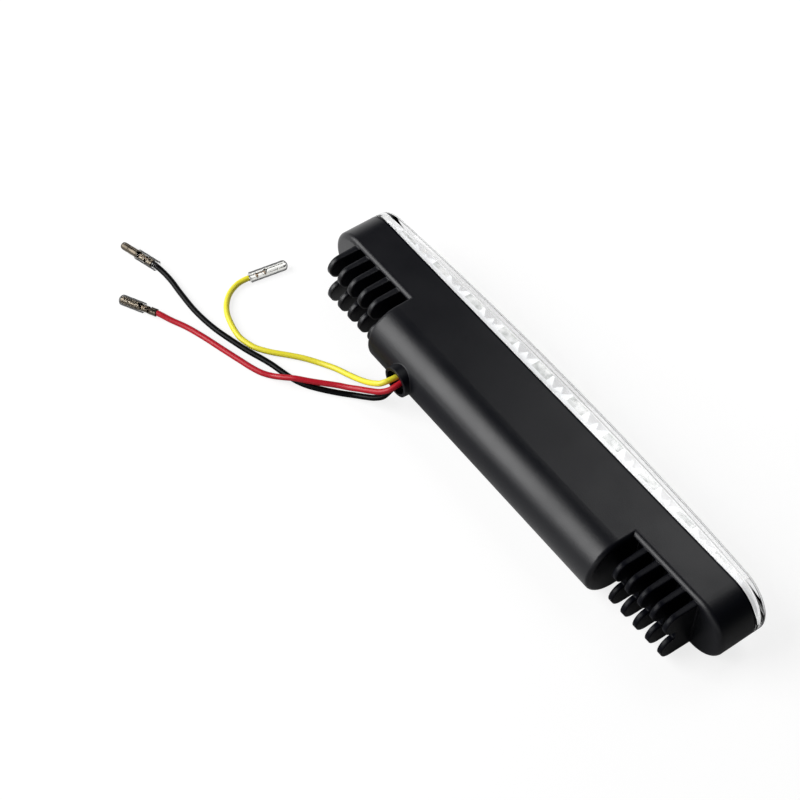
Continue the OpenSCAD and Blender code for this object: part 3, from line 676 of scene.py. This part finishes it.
def lens_rings():
    """Rings (inset, depth, share of the crown) from the outer face's middle round to the inner one's."""
    edge, inner = 0.0014, 0.0006
    tongue_in, tongue_out, tongue_l = 0.0006, 0.0014, 0.0008
    angle = np.radians(np.linspace(90, 0, 11))
    face = [(i, -lens_side, 1) for i in np.linspace(end_r, edge, 14, endpoint=False)]
    rim = [(edge * (1 - np.cos(a)), -lens_side + edge * (1 - np.sin(a)), 1) for a in angle]
    wall = [(0, -0.0006, 0.2), (0.00005, -0.00015, 0), (0.0002, 0, 0)]
    tongue = [(tongue_in, 0, 0), (tongue_in, tongue_l, 0), (tongue_out, tongue_l, 0), (tongue_out, 0, 0)]
    angle = np.radians(np.linspace(0, 90, 6))
    fillet = [(lens_wall + inner * (1 - np.cos(a)), lens_wall - lens_side + inner * (1 - np.sin(a)), 1)
              for a in angle]
    back = [(i, lens_wall - lens_side, 1) for i in np.linspace(lens_wall + inner, end_r, 14)[1:]]
    return face + rim + wall + tongue + [(lens_wall, 0, 0)] + fillet + back


def make_lens():
    """The clear cover: p(t, ring) = (x, seam + depth - share * crown(x), z) on the inset outline."""
    rings = []
    for inset, depth, share in lens_rings():
        x, z = outline(inset)
        rings.append(np.column_stack([x, seam_y + depth - share * crown(x), z]))
    piece("clear_lens", [(np.array(rings), False, True)], lens_clear, 40,
          replaces=("lens_cover",))


make_lens()


# Bright facets on the prism bars
def make_facets():
    """Radial facets on each bar's roof: y = roof(x) - m (a + f |sin 6 t| min(1, r / 3 mm)).

    t and r are the angle and the distance round the bar's middle, and m falls to 0 along its edges.
    Each bar's skin has a front with a and f, and a plain back that is sunk into the bar.
    """
    lift, ray, sunk, fade = 0.00004, 0.00026, 0.00008, 0.0003
    x = np.linspace(-1, 1, 61)[:, None] * bar_w / 2
    z = np.linspace(-1, 1, 121)[None, :] * (bar_half_z - 0.0002)
    r, t = np.hypot(x, z), np.arctan2(z, x)
    rays = np.abs(np.sin(6 * t)) * np.minimum(1, r / 0.003)
    mask = (np.minimum(1, (bar_w / 2 - np.abs(x)) / fade)
            * np.minimum(1, (z.max() - np.abs(z)) / fade))
    grids = []
    for i in range(cell_count - 1):
        middle = (i - (cell_count - 2) / 2) * cell_pitch
        apex = -(lens_side + crown(middle)) + lens_wall + bar_gap
        roof = bar_shoulder + (apex - bar_shoulder) * (1 - np.abs(x) / (bar_w / 2)) + 0 * z
        for sign, height in ((-1, lift + ray * rays), (1, sunk + 0 * rays)):
            y = seam_y + roof + sign * mask * height
            skin = np.stack([middle + x + 0 * z, y, mid_z + z + 0 * x], axis=-1)
            grids.append((skin, False, False))
    piece("prism_facets", grids, facet_bright, 12)


make_facets()


# Inside the LEDs
def make_led_frames():
    """Lead frames and chips in the LEDs: turned cups on two posts, seen through the epoxy."""
    front = (0, -1, 0)
    dot = 0.00001
    lead_x, drawn_in = 0.00127, 0.55
    post_x, post_r, cup_x = lead_x * drawn_in, 0.00022, 0.0004
    cup = [(dot, 0.0016), (0.0004, 0.0016), (0.0007, 0.0019), (0.00075, 0.0025), (0.00062, 0.0025),
           (0.00035, 0.0021), (dot, 0.0021)]
    dome = [(dot, 0.00212), (0.0006, 0.00246), (0.0005, 0.0026), (0.0003, 0.0027), (dot, 0.00272)]
    block = [(dot, 0.00212), (0.00024, 0.00212), (0.00024, 0.00232), (dot, 0.00232)]
    frames, fills, chips = [], [], []
    for i in range(cell_count):
        x = (i - (cell_count - 1) / 2) * cell_pitch
        for level in (1, -1):
            foot = np.array([x, seam_y + board_front, mid_z + level * led_gap / 2])
            place = foot + np.array([cup_x, 0, 0])
            frames.append((turned(cup, 20, place, front), False, True))
            for leg, post_end in ((-1, 0.0026), (1, 0.0017)):
                u = np.linspace(0.0001, post_end, 8)
                post = foot + np.array([leg * post_x, 0, 0]) + u[:, None] * np.array(front)
                frames.append((capped_tube(post, post_r, 8, 0.00005), False, True))
            if level > 0:
                fills.append((turned(dome, 16, place, front), False, True))
            else:
                chips.append((turned(block, 4, place, front), False, True))
    piece("led_lead_frames", frames, led_frame_metal)
    piece("white_led_phosphor", fills, phosphor)
    piece("amber_led_chips", chips, chip_amber, 20)


make_led_frames()


# Floor, world and lamps
def see_background(tree, mirrored):
    """How much rays see of the backdrop: all of it directly or through glass, less in a reflection."""
    path = tree.nodes.new("ShaderNodeLightPath")
    glossy = combine(tree, "MULTIPLY", path.outputs["Is Glossy Ray"], mirrored)
    seen = combine(tree, "MAXIMUM", path.outputs["Is Camera Ray"], glossy)
    return combine(tree, "MAXIMUM", seen, path.outputs["Is Transmission Ray"])


def make_floor():
    """A pale floor. Its glow grows with distance as the lamps' light fades.

    In glossy surfaces the glow rises past the end at +X, and behind the back towards the end at -X.
    """
    half = 3.0
    mesh = bpy.data.meshes.new("floor")
    mesh.from_pydata([(-half, -half, 0), (half, -half, 0), (half, half, 0), (-half, half, 0)], [],
                     [(0, 1, 2, 3)])
    floor = bpy.data.objects.new("floor", mesh)
    bpy.context.scene.collection.objects.link(floor)
    grey = 0.28
    material, tree, shader = base_material("pale floor", (grey, grey, grey), 0.9,
                                           Specular_IOR_Level=0.0)
    place = object_place(tree)
    skewed = combine(tree, "SUBTRACT", place["X"], combine(tree, "MULTIPLY", place["Y"], 0.45))
    beyond = remap(tree, skewed, 0.066, 0.09, 0.05, 1.0)
    under_back = product(tree, remap(tree, place["X"], -0.04, 0.04, 0.6, 0.0),
                         remap(tree, place["X"], -0.056, -0.048, 0.15, 1.0),
                         remap(tree, place["Y"], 0.0, 0.02, 0.0, 1.0))
    mirrored = combine(tree, "MAXIMUM", beyond, under_back)
    reach = tree.nodes.new("ShaderNodeVectorMath")
    reach.operation = "LENGTH"
    tree.links.new(tree.nodes.new("ShaderNodeTexCoord").outputs["Object"], reach.inputs[0])
    level = remap(tree, reach.outputs["Value"], 0.35, 1.5, 0.8, 1.0)
    glow = combine(tree, "MULTIPLY", see_background(tree, mirrored), level)
    shader.inputs["Emission Color"].default_value = (1, 1, 1, 1)
    tree.links.new(glow, shader.inputs["Emission Strength"])
    mesh.materials.append(material)


def make_world():
    """A pale studio: white all round above the floor, nearly dark overhead and dim on one side.

    That is what surfaces mirror and are lit by. The camera and clear pieces see plain white.
    """
    overhead, dim_way = 0.015, (-0.82, -0.43, 0.38)
    world = bpy.data.worlds.new("studio")
    world.use_nodes = True
    bpy.context.scene.world = world
    tree = world.node_tree
    shader = tree.nodes["Background"]
    way = tree.nodes.new("ShaderNodeTexCoord").outputs["Generated"]
    height = tree.nodes.new("ShaderNodeSeparateXYZ")
    tree.links.new(way, height.inputs["Vector"])
    level = remap(tree, height.outputs["Z"], 0.2, 0.5, 0.9, overhead)
    aim = tree.nodes.new("ShaderNodeVectorMath")
    aim.operation = "DOT_PRODUCT"
    aim.inputs[1].default_value = dim_way
    tree.links.new(way, aim.inputs[0])
    level = product(tree, level, remap(tree, aim.outputs["Value"], 0.35, 0.85, 1.0, 0.0))
    strength = combine(tree, "MAXIMUM", level, see_background(tree, 0.0))
    tree.links.new(strength, shader.inputs["Strength"])
    shader.inputs["Color"].default_value = (1, 1, 1, 1)


def add_lamp(name, place, target, width, height, power):
    """A rectangular soft lamp at a place, turned to a target, hidden from the camera."""
    data = bpy.data.lights.new(name, "AREA")
    data.shape = "RECTANGLE"
    data.size, data.size_y, data.energy = width, height, power
    lamp = bpy.data.objects.new(name, data)
    lamp.visible_camera = False
    bpy.context.scene.collection.objects.link(lamp)
    lamp.location = place
    way = Vector(place) - Vector(target)
    lamp.rotation_euler = way.to_track_quat("Z", "Y").to_euler()


make_floor()
make_world()
add_lamp("back softbox", (0.59, 0.8, 0.7), (0, 0, 0), 1.1, 0.85, 16.5)
add_lamp("top softbox", (0.085, -0.37, 0.45), (0.085, -0.37, 0), 0.29, 0.4, 0.85)
